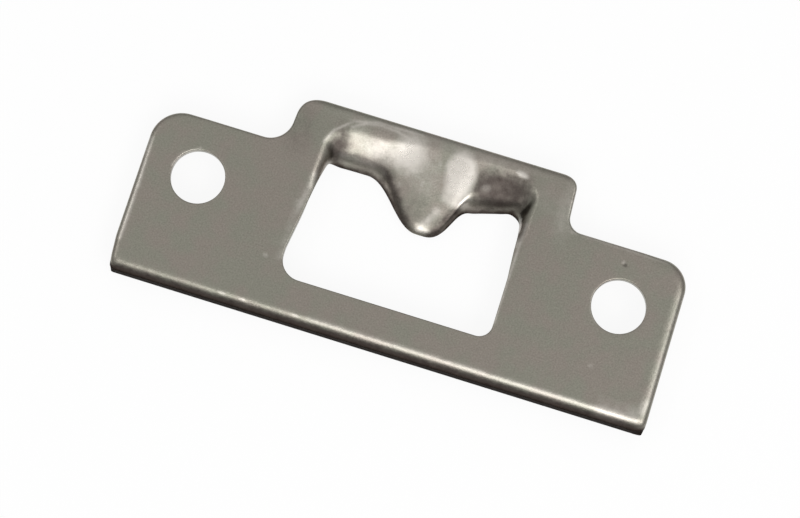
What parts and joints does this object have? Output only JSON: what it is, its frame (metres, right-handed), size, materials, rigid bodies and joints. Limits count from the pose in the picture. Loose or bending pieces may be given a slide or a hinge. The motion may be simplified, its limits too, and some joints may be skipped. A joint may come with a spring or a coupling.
{
  "type": "window sash lock keeper",
  "caption": "Stamped steel keeper plate for a window sash lock, with two screw ears, a folded lower flange, and a window whose drawn tongue catches the lock's cam.",
  "frame": {"origin": "middle of the overall size, on the surface the keeper lies on, 0.05 mm above the line through the screw holes", "axes": "+X along the plate's length, +Y from the folded flange towards the tab, +Z out of the front face"},
  "size_m": [0.0484, 0.0197, 0.003],
  "materials": {
    "keeper_steel": "satin stainless sheet, formed areas brighter"
  },
  "bodies": {
    "root": {"keeper_plate": "keeper_steel"}
  },
  "joints": []
}
